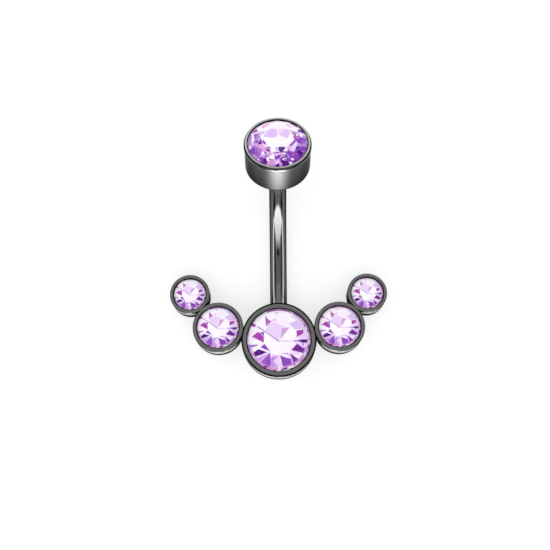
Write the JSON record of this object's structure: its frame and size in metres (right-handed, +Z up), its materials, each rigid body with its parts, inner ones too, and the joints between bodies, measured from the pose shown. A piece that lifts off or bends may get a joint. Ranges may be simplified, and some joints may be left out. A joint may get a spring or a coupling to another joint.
{
  "type": "navel ring",
  "caption": "Curved dark metal navel barbell with a fan of round lilac stones in cups at its foot and a screw-on stone cup at its top.",
  "frame": {"origin": "On the table under the middle of the ring's length and width, with the ring lying on its back as it rests by itself.", "axes": "+Z up from the table, +Y from the fan of stones towards the top cup, +X to the right hand end of the fan seen from above."},
  "size_m": [0.0204, 0.0238, 0.0096],
  "materials": {
    "dark_metal": "polished dark grey plating",
    "lilac_stone": "cut and polished, silvered behind"
  },
  "bodies": {
    "bar": {"barbell": "dark_metal", "centre_stone": "lilac_stone", "left_inner_stone": "lilac_stone", "right_inner_stone": "lilac_stone", "left_outer_stone": "lilac_stone", "right_outer_stone": "lilac_stone"},
    "stud": {"thread_stud": "dark_metal"},
    "top": {"top_cup": "dark_metal", "top_stone": "lilac_stone"}
  },
  "joints": [
    {"name": "top_rise", "type": "slide", "parent": "bar", "child": "stud", "axis": [0, 0.5688, 0.8224], "range_m": [0, 0.001]},
    {"name": "top_turn", "type": "hinge", "parent": "stud", "child": "top", "pos_m": [0, 0.00779, 0.00539], "axis": [0, 0.5688, 0.8224], "range_deg": [0, 1440]}
  ],
  "couplings": [
    {"joint": "top_turn", "follows": "top_rise", "rad_per_m": 25132}
  ]
}
